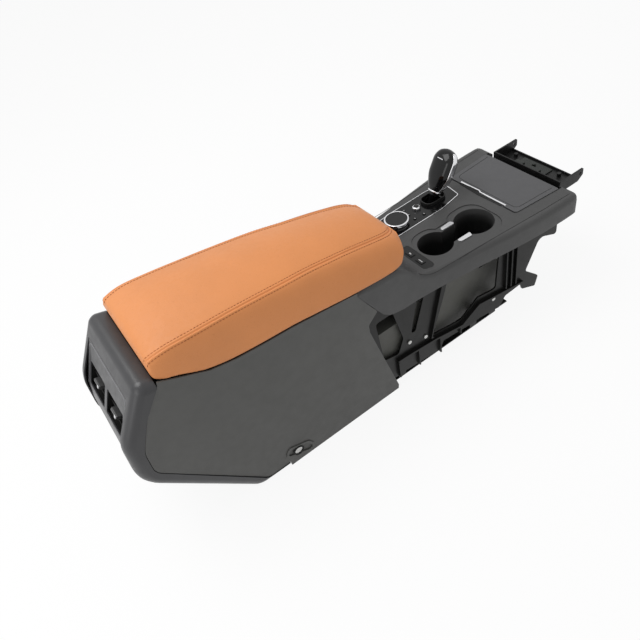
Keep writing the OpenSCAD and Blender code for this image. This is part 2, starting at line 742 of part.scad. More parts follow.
// Housing of the shift mechanism and of the knob drives under the panel
pivot_pin_r = 4;
housing_z = [deck_z - 100, deck_z - wall - 3];
module shifter_housing() {
    color([0.08, 0.08, 0.08])
    difference() {
        union() {
            bar([foot_at[0] - 62, foot_at[0] + 25], [foot_at[1] - 30, foot_at[1] + 30], housing_z);
            bar([720, foot_at[0] - 61], [34, 104], [deck_z - 40, housing_z[1]]);
        }
        bar([foot_at[0] - 43, foot_at[0] + 19], [foot_at[1] - 20, foot_at[1] + 20], [housing_z[0] + 6, deck_z]);
        rod_y(lever_at[0], pivot_z, pivot_pin_r + run, lever_at[1] - 40, lever_at[1] + 40);
        rod_z(knob_at[0], knob_at[1], knob_bore, deck_z - 34, deck_z);
        rod_z(dial_at[0], dial_at[1], 3 + run, deck_z - 30, deck_z);
        for (p = menu_at) rod_z(p[0], p[1], menu_d / 2 + 0.15, deck_z - 14, deck_z);
    }
}

// Shift lever: pivot, stalk and a waisted grip that leans forward
stalk_r = 7;
grip_from = (deck_z - pivot_z + 11) / cos(lever_lean);
grip_sizes = [[0, 10, 12], [0.12, 13, 15], [0.3, 18, 24], [0.55, 23, 31], [0.78, 23, 31], [0.92, 17, 24], [1, 7, 12]];
function grip_section(g) = [
    for (a = [0:20:340])
        [g[1] * cos(a), g[2] * sin(a), grip_from + g[0] * (lever_len - grip_from)]
];
module on_lever() {
    translate([lever_at[0], lever_at[1], pivot_z]) rotate([0, lever_lean, 0]) children();
}
module shift_lever() {
    color([0.04, 0.04, 0.04])
    difference() {
        union() {
            rod_y(lever_at[0], pivot_z, 11, lever_at[1] - 12, lever_at[1] + 12);
            rod_y(lever_at[0], pivot_z, pivot_pin_r, lever_at[1] - 28, lever_at[1] + 28);
            on_lever() {
                cylinder(r = stalk_r, h = grip_from + 20);
                loft([for (g = grip_sizes) grip_section(g)]);
            }
        }
        on_lever() {
            park_pocket(0.3);
            unlock_pocket(0.3);
        }
    }
}
// Bright trim along both sides of the grip
module lever_trim() {
    band = [for (g = grip_sizes) if (g[0] > 0.2 && g[0] < 0.95) g];
    color([0.85, 0.85, 0.86])
    on_lever()
    difference() {
        loft([for (g = band) [for (p = grip_section(g)) [p[0] * 0.34, p[1] * 1.03, p[2]]]]);
        loft([for (g = concat([[0.2, 15, 18]], band, [[0.99, 8, 14]]))
            [for (p = grip_section(g)) [p[0] * 1.01, p[1] * 1.002, p[2]]]]);
        unlock_pocket(0.5);
    }
}
// Buttons in the grip: one faces the rear, one faces left
park_size = [16, 5];
park_face = 23;
park_h = 0.8;
park_at = grip_from + park_h * (lever_len - grip_from);
module park_pocket(c) {
    translate([-park_face - 6, -park_size[0] / 2 - c, park_at - park_size[1] / 2 - c])
        cube([20 + c, park_size[0] + 2 * c, park_size[1] + 2 * c]);
}
module park_button() {
    color([0.8, 0.8, 0.8])
    on_lever()
    translate([-park_face, -park_size[0] / 2, park_at - park_size[1] / 2])
        cube([12, park_size[0], park_size[1]]);
}
unlock_r = 6;
unlock_face = 31.5;
unlock_at = grip_from + 0.5 * (lever_len - grip_from);
module unlock_pocket(c) {
    translate([0, unlock_face - 12 - c, unlock_at]) rotate([-90, 0, 0]) cylinder(r = unlock_r + c, h = 20);
}
module unlock_button() {
    color([0.2, 0.2, 0.2])
    on_lever()
    translate([0, unlock_face - 10, unlock_at]) rotate([-90, 0, 0]) cylinder(r = unlock_r, h = 10);
}

// Rotary knob: turning ring around a cap that is pushed
cap_r = knob_d / 2 - 4;
ring_foot = 0.3;
module knob_ring() {
    color([0.75, 0.75, 0.76])
    translate([knob_at[0], knob_at[1], deck_z + ring_foot])
    rotate_extrude($fn = 72) polygon([
        [knob_stem_r + play, -12], [knob_stem_r + play + sleeve_t, -12], [knob_stem_r + play + sleeve_t, 0],
        [knob_d / 2 - 5, 0], [knob_d / 2 - 4, 4], [knob_d / 2, 8], [knob_d / 2, knob_h - 1],
        [knob_d / 2 - 1, knob_h], [cap_r + play, knob_h], [cap_r + play, 6], [knob_stem_r + play, 6]
    ]);
}
module knob_cap() {
    color([0.08, 0.08, 0.08])
    translate([knob_at[0], knob_at[1], deck_z])
    rotate_extrude($fn = 72) polygon([
        [0, 2], [knob_stem_r, 2], [knob_stem_r, 7.8], [cap_r, 7.8], [cap_r, knob_h - 1.5],
        [cap_r - 1, knob_h - 0.8], [0, knob_h - 0.8]
    ]);
}
module dial_knob() {
    color([0.5, 0.5, 0.5])
    translate([dial_at[0], dial_at[1], deck_z + ring_foot]) {
        rotate_extrude($fn = 60) polygon([
            [0, 0], [dial_d / 2, 0], [dial_d / 2, 5], [dial_d / 2 - 1, 7], [dial_d / 2 - 2.5, 8], [0, 8]
        ]);
        translate([0, 0, -20]) cylinder(r = 3, h = 21);
    }
}
module menu_button(i) {
    color([0.25, 0.25, 0.25])
    translate([menu_at[i][0], menu_at[i][1], deck_z - 9]) cylinder(r = menu_d / 2, h = 11);
}
module menu_button_1() { menu_button(0); }
module menu_button_2() { menu_button(1); }
module menu_button_3() { menu_button(2); }
module menu_button_4() { menu_button(3); }

// Cup holder: two cups joined by a waist, with a recessed rim
cup_rear_at = [774, -50];
cup_front_at = [884, -55];
rim_drop = 3;
waist_y = [-75, -31];
module cup_outline(grow, z0, z1) {
    plate(inset(box_outline(732, -102, 812, 2, 34), grow), z0, z1);
    plate(inset(box_outline(800, -92, 852, -14, 0), grow), z0, z1);
    plate(inset(box_outline(836, -114, 932, 4, 38), grow), z0, z1);
}
module cup_bores(grow, z0, z1) {
    rod_z(cup_rear_at[0], cup_rear_at[1], cup_rear_d / 2 + grow, z0, z1);
    rod_z(cup_front_at[0], cup_front_at[1], cup_front_d / 2 + grow, z0, z1);
    bar([cup_rear_at[0], cup_front_at[0]], [waist_y[0] - grow, waist_y[1] + grow], [z0, z1]);
}
// Flared mouth of the front cup
flare_h = 18;
flare_out = 4;
module cup_flare(grow, z1) {
    r = cup_front_d / 2 + grow;
    h = z1 - deck_z + flare_h;
    translate([cup_front_at[0], cup_front_at[1], deck_z - flare_h])
        cylinder(r1 = r, r2 = r + flare_out * h / flare_h, h = h);
}
module cup_holder() {
    color([0.10, 0.10, 0.10])
    difference() {
        union() {
            cup_outline(0, deck_z - wall - 2, deck_z - rim_drop + 1.5);
            cup_outline(-flange, deck_z - wall - 2, deck_z - wall);
            cup_bores(2.5, deck_z - cup_depth - wall, deck_z - wall - 1);
            cup_flare(2.5, deck_z - wall - 1);
        }
        cup_bores(0, deck_z - cup_depth, deck_z + eps);
        cup_flare(0, deck_z);
    }
}
module cup_mats() {
    color([0.06, 0.06, 0.06])
    union() {
        rod_z(cup_rear_at[0], cup_rear_at[1], cup_rear_d / 2 - 2, deck_z - cup_depth, deck_z - cup_depth + mat_t);
        rod_z(cup_front_at[0], cup_front_at[1], cup_front_d / 2 - 2, deck_z - cup_depth, deck_z - cup_depth + mat_t);
    }
}
grip_z = deck_z - rim_drop + 1.5;
module cup_grips() {
    color([0.8, 0.8, 0.8]) {
        plate([[812, waist_y[1] + 2, 3], [850, waist_y[1] + 1, 3], [846, waist_y[1] + 13, 4], [816, waist_y[1] + 11, 4]],
            grip_z, grip_z + 2.5);
        plate([[816, waist_y[0] - 12, 4], [846, waist_y[0] - 14, 4], [850, waist_y[0] - 2, 3], [812, waist_y[0] - 2, 3]],
            grip_z, grip_z + 2.5);
    }
}

// Switch panel behind the cups with two seat buttons
seat_button = [12, 20];
seat_at = [[712, -38], [712, -72]];
module switch_panel() {
    color([0.08, 0.08, 0.08])
    difference() {
        union() {
            plate(switch_plan, deck_z - wall - 1, deck_z);
            plate(inset(switch_plan, -flange), deck_z - wall - 3, deck_z - wall);
            bar([701, 723], [-90, -22], [deck_z - wall - 10, deck_z - wall - 1]);
        }
        for (p = seat_at) seat_pocket(p, 0.3);
    }
}
module seat_pocket(p, c) {
    bar([p[0] - seat_button[0] / 2 - c, p[0] + seat_button[0] / 2 + c],
        [p[1] - seat_button[1] / 2 - c, p[1] + seat_button[1] / 2 + c], [deck_z - wall - 7 - c, deck_z + 3]);
}
module seat_key(p) {
    color([0.14, 0.14, 0.14])
    bar([p[0] - seat_button[0] / 2, p[0] + seat_button[0] / 2],
        [p[1] - seat_button[1] / 2, p[1] + seat_button[1] / 2], [deck_z - 6, deck_z + 1.5]);
}
module seat_button_1() { seat_key(seat_at[0]); }
module seat_button_2() { seat_key(seat_at[1]); }

// Tray under the front door, hung in the deck
tray_plan = inset(door_plan, 2);
tray_depth = 37;
door_t = 5;
module front_tray() {
    color([0.09, 0.09, 0.09])
    difference() {
        union() {
            difference() {
                union() {
                    plate(inset(tray_plan, 0.5), deck_z - tray_depth, deck_z - door_t - 0.5);
                    plate(inset(door_plan, -flange), deck_z - wall - 3, deck_z - wall);
                }
                plate(inset(tray_plan, 0.5 + wall), deck_z - tray_depth + wall, deck_z + eps);
                bar([door_pin_x - 8, door_pin_x + 30], [-130, 130], [deck_z - 19, deck_z + 5]);
                plate(inset(door_plan, -play), deck_z - door_t - 0.3, deck_z + eps);
            }
            both_sides() {
                rod_y(door_pin_x, door_pin_z, ear_half, door_ear[0], door_ear[1]);
                bar([door_pin_x - ear_half, door_pin_x + ear_half], door_ear, [deck_z - tray_depth + 1, door_pin_z]);
            }
        }
        both_sides() rod_y(door_pin_x, door_pin_z, door_pin_r + run, door_ear[0] - eps, door_ear[1] + eps);
    }
}
module tray_mat() {
    color([0.07, 0.07, 0.07])
    intersection() {
        plate(inset(tray_plan, 4.5 + wall), deck_z - tray_depth + wall, deck_z - tray_depth + wall + mat_t);
        bar([900, door_pin_x - 10], [-130, 130], [0, deck_z]);
    }
}
// Front door with its hinge barrels, and the handle along its rear edge
door_pin_x = 1086;
door_pin_z = deck_z - 10;
door_pin_r = 2;
door_barrel = [60, 90];
door_ear = [91, 97];
ear_half = 4.2;
module front_door() {
    color([0.29, 0.29, 0.30])
    difference() {
        union() {
            plate([[964, -104, 8], [door_pin_x + 5, -113, 3], [door_pin_x + 5, 113, 3], [964, 104, 8]],
                deck_z - door_t, deck_z + 1.5);
            both_sides() {
                rod_y(door_pin_x, door_pin_z, 4, door_barrel[0], door_barrel[1]);
                bar([door_pin_x - 4, door_pin_x + 4], door_barrel, [door_pin_z, deck_z - door_t + 1]);
                rod_y(door_pin_x, door_pin_z, door_pin_r, door_barrel[0], door_ear[1]);
            }
        }
        bar([960, 972], [-handle_half - play, handle_half + play], [deck_z - 2, deck_z + 5]);
    }
}
handle_half = 66;
module door_handle() {
    color([0.8, 0.8, 0.8])
    bar([965, 971.5], [-handle_half, handle_half], [deck_z - 2, deck_z + 2.5]);
}

// Armrest hinge: two gooseneck arms on the bin's rear wall
arm_y = [44, 50];
arm_y2 = [70, 76];
ear_r = 5.5;
module hinge_bracket() {
    color([0.35, 0.35, 0.36])
    difference() {
        union() {
            bar([bin_rear - 4, bin_rear], [-84, 84], [340, 418]);
            both_sides() for (y = [arm_y, arm_y2]) {
                rod_y(hinge_x, hinge_z, ear_r, y[0], y[1]);
                bar([hinge_x, bin_rear], y, [hinge_z - 4, hinge_z + 4]);
                bar([bin_rear - 8, bin_rear], y, [400, hinge_z + 4]);
            }
        }
        both_sides() rod_y(hinge_x, hinge_z, pin_d / 2, arm_y[0] - eps, arm_y2[1] + eps);
    }
}
module hinge_pins() {
    color([0.7, 0.7, 0.7])
    both_sides() rod_y(hinge_x, hinge_z, pin_d / 2, arm_y[0] - 1, arm_y2[1] + 1);
}

// Lid base: plastic tray under the cushion, with the hinge knuckles
base_x = [125, 600];
base_half = 108;
base_h = 12;
base_line = [126, 150, 200, 250, 310, 370, 440, 520, 600];
module base_solid(grow, low, high) {
    half = base_half + grow;
    lower = [for (x = base_line) [x + (x == base_line[0] ? -grow : x == at(base_line, -1) ? grow : 0), lookup(x, arm_low) + low]];
    upper = [for (i = [len(base_line) - 1:-1:0]) [lower[i][0], lookup(base_line[i], arm_low) + high]];
    translate([0, half, 0]) rotate([90, 0, 0]) linear_extrude(2 * half) polygon(concat(lower, upper));
}
module hinge_pocket(grow) {
    both_sides()
        bar([hinge_x - ear_r - 1 - grow, bin_rear + 3 + grow], [arm_y[0] - 4 - grow, arm_y2[1] + 4 + grow],
            [400, hinge_z + ear_r + 1 + grow]);
}
module lid_base() {
    color([0.12, 0.12, 0.12])
    difference() {
        union() {
            difference() {
                base_solid(0, 0, base_h);
                base_solid(-4, -4, base_h - wall);
                hinge_pocket(0);
            }
            both_sides() {
                rod_y(hinge_x, hinge_z, ear_r, arm_y[1] + 0.5, arm_y2[0] - 0.5);
                bar([hinge_x + 2, bin_rear + 3], [arm_y[1] + 0.5, arm_y2[0] - 0.5], [hinge_z - 5, hinge_z - 1]);
                bar([bin_rear - 4, bin_rear + 3], [arm_y[1] + 0.5, arm_y2[0] - 0.5], [424, hinge_z - 1]);
                bar([bin_rear - 4, bin_rear + 8], [arm_y[1] + 0.5, arm_y2[0] - 0.5], [424, 432]);
            }
            bar([596, 608], [-20, 20], [353.5, 365]);
        }
        both_sides() rod_y(hinge_x, hinge_z, pin_d / 2 + run, arm_y[0] - eps, arm_y2[1] + eps);
        latch_pocket(0.3);
    }
}
latch_z = [354.5, 359];
latch_half = 14;
latch_front = 632;
module latch_pocket(c) {
    bar([590, 612], [-latch_half - c, latch_half + c], [latch_z[0] - c, latch_z[1] + c]);
}
module lid_latch() {
    color([0.15, 0.15, 0.15])
    union() {
        bar([598, latch_front], [-latch_half, latch_half], latch_z);
        bar([latch_front - 6, latch_front], [-latch_half, latch_half], [latch_z[0] - 5.5, latch_z[1]]);
    }
}

// Cushion: lofted sections, crowned on top and drawn in towards the seams
arm_stations = [110, 112, 116, 122, 132, 150, 180, 216, 256, 310, 370, 440, 520, 580, 607, 628, 637, 645,
    650, 654, 657, 660];
function bezier(a, b, c, t) = a * (1 - t) * (1 - t) + b * 2 * t * (1 - t) + c * t * t;
function cushion_half(x) =
    let (
        wb = arm_half + lookup(x, low_half),
        zb = lookup(x, arm_low),
        ws = lookup(x, seam_half),
        zs = lookup(x, arm_seam),
        zt = lookup(x, arm_crown),
        foot = min(4, (zs - zb) / 4)
    )
    concat(
        [[x, wb - 3, zb]],
        [for (t = [0, 0.2, 0.4, 0.6, 0.8, 1])
            let (p = bezier([wb, zb + foot], [ws + 0.62 * (wb - ws), zs], [ws, zs], t)) [x, p[0], p[1]]],
        [for (t = [0.33, 0.66])
            let (p = bezier([ws, zs], [ws * 0.45, zt], [0, zt], t)) [x, p[0], p[1]]]
    );
function cushion_section(x) =
    let (h = cushion_half(x))
    concat(h, [[x, 0, lookup(x, arm_crown)]], [for (i = [len(h) - 1:-1:0]) [x, -h[i][1], h[i][2]]]);
module lid_cushion() {
    color([0.80, 0.50, 0.30])
    difference() {
        loft([for (x = arm_stations) cushion_section(x)]);
        base_solid(0.3, -6, base_h + 0.3);
        hinge_pocket(0.5);
        bar([590, 609], [-21, 21], [340, 365.5]);
        bar([600, latch_front + 2], [-latch_half - play, latch_half + play], [340, latch_z[1] + play]);
    }
}

set_down() floor_tray();
set_down() side_frame_right();
set_down() side_frame_left();
set_down() front_bracket();
set_down() control_module();
set_down() frame_screws();
set_down() air_channel();
set_down() storage_bin();
set_down() bin_mat();
set_down() side_panel_right();
set_down() side_panel_left();
set_down() panel_clips();
set_down() rear_trim();
set_down() lower_rear_panel();
set_down() vent_panel();
set_down() vent_housing();
set_down() air_duct();
set_down() top_cover();
set_down() shifter_panel();
set_down() chrome_strip();
set_down() lever_collar();
set_down() shifter_housing();
set_down() cup_holder();
set_down() cup_grips();
set_down() cup_mats();
set_down() switch_panel();
set_down() front_tray();
set_down() tray_mat();
set_down() hinge_bracket();
set_down() hinge_pins();
set_down() lid_base();
set_down() lid_cushion();
set_down() lid_latch();
set_down() shift_lever();
set_down() lever_trim();
set_down() park_button();
set_down() unlock_button();
set_down() knob_ring();
set_down() knob_cap();
set_down() dial_knob();
set_down() menu_button_1();
set_down() menu_button_2();
set_down() menu_button_3();
set_down() menu_button_4();
set_down() seat_button_1();
set_down() seat_button_2();
set_down() front_door();
set_down() door_handle();
set_down() vane_left_top();
set_down() vane_left_middle();
set_down() vane_left_bottom();
set_down() vent_tab_left();
set_down() blade_left_inner();
set_down() blade_left_outer();
set_down() vane_right_top();
set_down() vane_right_middle();
set_down() vane_right_bottom();
set_down() vent_tab_right();
set_down() blade_right_inner();
set_down() blade_right_outer();
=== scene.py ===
import math

import bmesh
import bpy
from mathutils import Matrix, Vector


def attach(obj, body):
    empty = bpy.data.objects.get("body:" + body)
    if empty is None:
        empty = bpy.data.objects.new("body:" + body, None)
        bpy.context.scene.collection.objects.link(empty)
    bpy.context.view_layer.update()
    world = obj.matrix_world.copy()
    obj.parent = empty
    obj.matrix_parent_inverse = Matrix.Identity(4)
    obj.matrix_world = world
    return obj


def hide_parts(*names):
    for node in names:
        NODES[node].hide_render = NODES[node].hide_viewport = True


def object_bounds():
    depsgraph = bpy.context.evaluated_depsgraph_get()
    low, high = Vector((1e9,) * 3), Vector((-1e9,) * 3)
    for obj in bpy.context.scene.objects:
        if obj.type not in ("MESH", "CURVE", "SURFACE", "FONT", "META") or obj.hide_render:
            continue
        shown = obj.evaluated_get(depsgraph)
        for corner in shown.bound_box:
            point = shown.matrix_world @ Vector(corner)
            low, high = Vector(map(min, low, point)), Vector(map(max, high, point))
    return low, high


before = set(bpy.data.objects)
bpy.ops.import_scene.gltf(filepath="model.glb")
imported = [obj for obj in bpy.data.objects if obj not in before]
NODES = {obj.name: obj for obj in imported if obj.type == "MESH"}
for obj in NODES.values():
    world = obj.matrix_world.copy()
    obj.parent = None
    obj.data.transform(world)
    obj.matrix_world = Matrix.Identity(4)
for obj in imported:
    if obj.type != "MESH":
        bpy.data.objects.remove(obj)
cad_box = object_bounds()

MM = 0.001
LENGTH = 1186  # the console's length, mm
MID = LENGTH - cad_box[1][0] / MM  # distance from the rear face to the origin, mm
DECK = 287.0  # height of the deck, mm


def pt(x, y, z):
    """A point given in millimetres from the rear face, as a point of the row frame."""
    return Vector(((x - MID) * MM, y * MM, z * MM))


def srgb(r, g, b):
    out = []
    for c in (r / 255, g / 255, b / 255):
        out.append(c / 12.92 if c <= 0.04045 else ((c + 0.055) / 1.055) ** 2.4)
    return (out[0], out[1], out[2], 1.0)


def scaled(color, k):
    return tuple(min(1.0, c * k) for c in color[:3]) + (1.0,)


# Materials
class Tree:
    """Short names for building a node tree."""

    def __init__(self, mat):
        self.t = mat.node_tree
        self.bsdf = self.t.nodes["Principled BSDF"]
        self.coord = self.add("ShaderNodeTexCoord").outputs["Object"]

    def add(self, kind, **values):
        n = self.t.nodes.new(kind)
        for k, v in values.items():
            setattr(n, k, v)
        return n

    def link(self, a, b):
        self.t.links.new(a, b)

    def mapped(self, scale):
        m = self.add("ShaderNodeMapping")
        m.inputs["Scale"].default_value = scale
        self.link(self.coord, m.inputs["Vector"])
        return m.outputs["Vector"]

    def noise(self, scale, detail=3.0, rough=0.5, vector=None):
        n = self.add("ShaderNodeTexNoise")
        n.inputs["Scale"].default_value = scale
        n.inputs["Detail"].default_value = detail
        n.inputs["Roughness"].default_value = rough
        self.link(vector or self.coord, n.inputs["Vector"])
        return n.outputs["Fac"]

    def cells(self, scale, smooth=0.6):
        n = self.add("ShaderNodeTexVoronoi", feature="SMOOTH_F1")
        n.inputs["Scale"].default_value = scale
        n.inputs["Smoothness"].default_value = smooth
        self.link(self.coord, n.inputs["Vector"])
        return n.outputs["Distance"]

    def span(self, value, lo, hi, a=0.3, b=0.7):
        n = self.add("ShaderNodeMapRange")
        n.inputs["From Min"].default_value = a
        n.inputs["From Max"].default_value = b
        n.inputs["To Min"].default_value = lo
        n.inputs["To Max"].default_value = hi
        self.link(value, n.inputs["Value"])
        return n.outputs["Result"]

    def ramp(self, value, stops):
        n = self.add("ShaderNodeValToRGB")
        el = n.color_ramp.elements
        while len(el) < len(stops):
            el.new(0.5)
        for e, (p, c) in zip(el, stops):
            e.position = p
            e.color = c
        self.link(value, n.inputs["Fac"])
        return n.outputs["Color"]

    def bump(self, height, strength, distance, normal=None):
        n = self.add("ShaderNodeBump")
        n.inputs["Strength"].default_value = strength
        n.inputs["Distance"].default_value = distance
        self.link(height, n.inputs["Height"])
        if normal is not None:
            self.link(normal, n.inputs["Normal"])
        return n.outputs["Normal"]


def new_material(name):
    m = bpy.data.materials.new(name)
    m.use_nodes = True
    return m, Tree(m)


def plastic(name, color, rough=0.5, grain=1500, depth=0.35, vary=0.05, coat=0.0, spec=0.5):
    """Moulded plastic: fine grain in bump, slight cloudiness in colour and roughness."""
    m, t = new_material(name)
    cloud = t.noise(9, 4)
    t.link(t.ramp(cloud, [(0.3, scaled(color, 1 - vary)), (0.7, scaled(color, 1 + vary))]), t.bsdf.inputs["Base Color"])
    t.link(t.span(t.noise(55, 4), rough - 0.05, rough + 0.06), t.bsdf.inputs["Roughness"])
    t.bsdf.inputs["Specular IOR Level"].default_value = spec
    if coat:
        t.bsdf.inputs["Coat Weight"].default_value = coat
        t.bsdf.inputs["Coat Roughness"].default_value = 0.06
    fine = t.bump(t.cells(grain), depth, 0.00012)
    t.link(t.bump(t.noise(grain * 0.35, 2), depth * 0.5, 0.0002, fine), t.bsdf.inputs["Normal"])
    return m


def gloss(name, color, rough=0.1):
    """Polished black plastic with faint dust and swirl in its roughness."""
    m, t = new_material(name)
    t.link(t.ramp(t.noise(20, 3), [(0.3, scaled(color, 0.8)), (0.7, scaled(color, 1.25))]), t.bsdf.inputs["Base Color"])
    t.link(t.span(t.noise(90, 5, 0.7), rough - 0.04, rough + 0.1), t.bsdf.inputs["Roughness"])
    t.link(t.bump(t.noise(260, 2), 0.05, 0.0001), t.bsdf.inputs["Normal"])
    t.bsdf.inputs["Specular IOR Level"].default_value = 0.3
    return m


def metal(name, color, rough=0.2, brushed=False):
    m, t = new_material(name)
    t.bsdf.inputs["Metallic"].default_value = 1.0
    v = t.mapped((30, 900, 900)) if brushed else t.mapped((160, 160, 160))
    n = t.noise(1.0, 4, 0.6, v)
    t.link(t.ramp(n, [(0.25, scaled(color, 0.88)), (0.75, scaled(color, 1.05))]), t.bsdf.inputs["Base Color"])
    t.link(t.span(n, rough - 0.05, rough + 0.12), t.bsdf.inputs["Roughness"])
    t.link(t.bump(n, 0.08, 0.0001), t.bsdf.inputs["Normal"])
    return m


def rubber(name, color):
    m, t = new_material(name)
    t.link(t.ramp(t.noise(40, 4), [(0.3, scaled(color, 0.8)), (0.7, scaled(color, 1.3))]), t.bsdf.inputs["Base Color"])
    t.link(t.span(t.noise(120, 3), 0.7, 0.9), t.bsdf.inputs["Roughness"])
    t.link(t.bump(t.cells(900), 0.5, 0.0003), t.bsdf.inputs["Normal"])
    return m


def leather(name, color):
    """Grained leather: pebbles of two sizes, soft creases, mottled colour, and painted shade that darkens the colour in
    the valleys between the pebbles.
    """
    m, t = new_material(name)
    pebble = t.cells(620, 0.5)
    mottle = t.noise(7, 5, 0.6)
    base = t.ramp(mottle, [(0.25, scaled(color, 0.93)), (0.5, color), (0.75, scaled(color, 1.06))])
    # Painted shade: the colour is multiplied darker towards the borders of the pebble cells, for the shade in the
    # grain's valleys.
    mix = t.add("ShaderNodeMix", data_type="RGBA", blend_type="MULTIPLY")
    mix.inputs["Factor"].default_value = 0.35
    t.link(base, mix.inputs[6])
    t.link(t.ramp(pebble, [(0.0, (1, 1, 1, 1)), (0.65, (1, 1, 1, 1)), (1.0, (0.72, 0.62, 0.55, 1))]), mix.inputs[7])
    t.link(mix.outputs[2], t.bsdf.inputs["Base Color"])
    t.link(t.span(t.noise(140, 4), 0.46, 0.62), t.bsdf.inputs["Roughness"])
    t.bsdf.inputs["Specular IOR Level"].default_value = 0.42
    t.bsdf.inputs["Sheen Weight"].default_value = 0.08
    a = t.bump(pebble, 0.3, 0.0004)
    b = t.bump(t.noise(210, 3), 0.25, 0.0005, a)
    t.link(t.bump(t.noise(38, 3), 0.12, 0.0012, b), t.bsdf.inputs["Normal"])
    return m


def cup_plastic(name, rim, shaded_well):
    """Grained plastic whose colour darkens with depth from the rim's charcoal to near black, as painted shade down in
    the wells.
    """
    m = plastic(name, rim, 0.45, 1500, 0.35)
    t = Tree(m)
    height = t.add("ShaderNodeSeparateXYZ")
    t.link(t.coord, height.inputs[0])
    # Painted shade: from the rim down into the wells the colour fades to near black with depth.
    depth_shade = t.add("ShaderNodeMix", data_type="RGBA")
    t.link(t.span(height.outputs["Z"], 0.0, 1.0, 0.252, 0.2855), depth_shade.inputs["Factor"])
    depth_shade.inputs[6].default_value = shaded_well
    t.link(t.ramp(t.noise(9, 4), [(0.3, scaled(rim, 0.94)), (0.7, scaled(rim, 1.06))]), depth_shade.inputs[7])
    t.link(depth_shade.outputs[2], t.bsdf.inputs["Base Color"])
    return m


PANEL = plastic("panel_charcoal", srgb(74, 74, 72), 0.5, 1300, 0.5)
TRIM = plastic("trim_charcoal", srgb(48, 48, 50), 0.34, 1700, 0.25)
COVER = plastic("cover_charcoal", srgb(56, 56, 56), 0.45, 1500, 0.4)
FRAME = plastic("frame_black", srgb(15, 15, 14), 0.34, 900, 0.35, 0.15, 0, 0.25)
INNER = plastic("inner_black", srgb(22, 22, 21), 0.5, 1200, 0.35, 0.12, 0, 0.22)
CHANNEL = plastic("channel_gray", srgb(88, 88, 84), 0.5, 1500, 0.3, 0.05, 0, 0.3)
DOOR = plastic("door_gray", srgb(69, 69, 71), 0.4, 2000, 0.2)
PIANO = gloss("piano_black", srgb(11, 11, 12))
SWITCH = plastic("switch_black", srgb(27, 27, 27), 0.33, 1800, 0.15, 0.05, 0, 0.25)
VANE = plastic("vane_black", srgb(34, 34, 34), 0.38, 1600, 0.2, 0.05, 0, 0.3)
TAB = plastic("tab_gray", srgb(62, 62, 62), 0.35, 1600, 0.15)
CHROME = metal("chrome", srgb(226, 226, 228), 0.14)
SATIN = metal("satin_chrome", srgb(214, 214, 216), 0.3, True)
STEEL = metal("steel", srgb(196, 196, 194), 0.32)
MAT = rubber("mat_rubber", srgb(14, 14, 14))
# Cup holder: charcoal rim, with painted shade to near black down in the wells
CUP = cup_plastic("cup_charcoal", srgb(55, 55, 55), srgb(9, 9, 9))
BRACKET = plastic("bracket_black", srgb(20, 20, 20), 0.4, 1000, 0.3, 0.15, 0, 0.25)
BOARD = plastic("board_dark", srgb(26, 30, 27), 0.4, 800, 0.5, 0.4, 0, 0.3)
TAN = leather("leather_tan", srgb(213, 137, 80))
THREAD = rubber("thread_brown", srgb(150, 84, 42))
DARK = plastic("gap_dark", srgb(12, 12, 12), 0.8, 900, 0.2)
MARK = plastic("mark_white", srgb(205, 205, 205), 0.5, 1500, 0.1)
# Light grey that paints the highlights along the vents' edges
PAINTED_HIGHLIGHT = plastic("painted_edge_highlight", srgb(128, 128, 130), 0.3, 1500, 0.1)

LOOK = {
    FRAME: ["floor_tray", "side_frame_right", "side_frame_left"],
    BRACKET: ["front_bracket"],
    BOARD: ["control_module"],
    STEEL: ["frame_screws", "panel_clips", "hinge_bracket", "hinge_pins"],
    INNER: ["storage_bin", "vent_housing", "air_duct", "shifter_housing", "front_tray", "lid_base"],
    CUP: ["cup_holder"],
    MAT: ["bin_mat", "cup_mats", "tray_mat"],
    PANEL: ["side_panel_right", "side_panel_left", "lower_rear_panel"],
    TRIM: ["rear_trim", "vent_panel"],
    COVER: ["top_cover"],
    CHANNEL: ["air_channel"],
    PIANO: ["shifter_panel", "shift_lever"],
    CHROME: ["chrome_strip", "lever_trim", "knob_ring", "dial_knob", "park_button", "door_handle"],
    SATIN: ["cup_grips"],
    SWITCH: ["lever_collar", "switch_panel", "lid_latch", "unlock_button", "knob_cap", "menu_button_1", "menu_button_2",
             "menu_button_3", "menu_button_4", "seat_button_1", "seat_button_2"],
    DOOR: ["front_door"],
    TAB: ["vent_tab_left", "vent_tab_right"],
    VANE: [n for n in NODES if n.startswith(("vane_", "blade_"))],
}
PLAIN_EDGE = 0.0004
SOFT_EDGE = {"rear_trim": 0.0006, "top_cover": 0.0008, "side_panel_right": 0.0008, "side_panel_left": 0.0008,
             "vent_panel": 0.0007, "front_door": 0.0012, "cup_holder": 0.0008, "knob_ring": 0.0004}


def paint(obj, mat):
    obj.data.materials.clear()
    obj.data.materials.append(mat)


def dress(obj, width):
    """Small rounded edges and smooth shading on a CAD node, by modifiers alone; width in metres."""
    for p in obj.data.polygons:
        p.use_smooth = True
    if "custom_normal" in obj.data.attributes:
        obj.data.attributes.remove(obj.data.attributes["custom_normal"])
    weld = obj.modifiers.new("weld", "WELD")
    weld.merge_threshold = 0.00002
    flat = obj.modifiers.new("flat", "DECIMATE")
    flat.decimate_type = "DISSOLVE"
    flat.angle_limit = math.radians(0.4)
    bev = obj.modifiers.new("bevel", "BEVEL")
    bev.limit_method = "ANGLE"
    bev.angle_limit = math.radians(40)
    bev.width = width
    bev.segments = 2
    bev.harden_normals = False
    wn = obj.modifiers.new("normals", "WEIGHTED_NORMAL")
    wn.weight = 80


for mat, names in LOOK.items():
    for n in names:
        paint(NODES[n], mat)
        dress(NODES[n], SOFT_EDGE.get(n, PLAIN_EDGE))


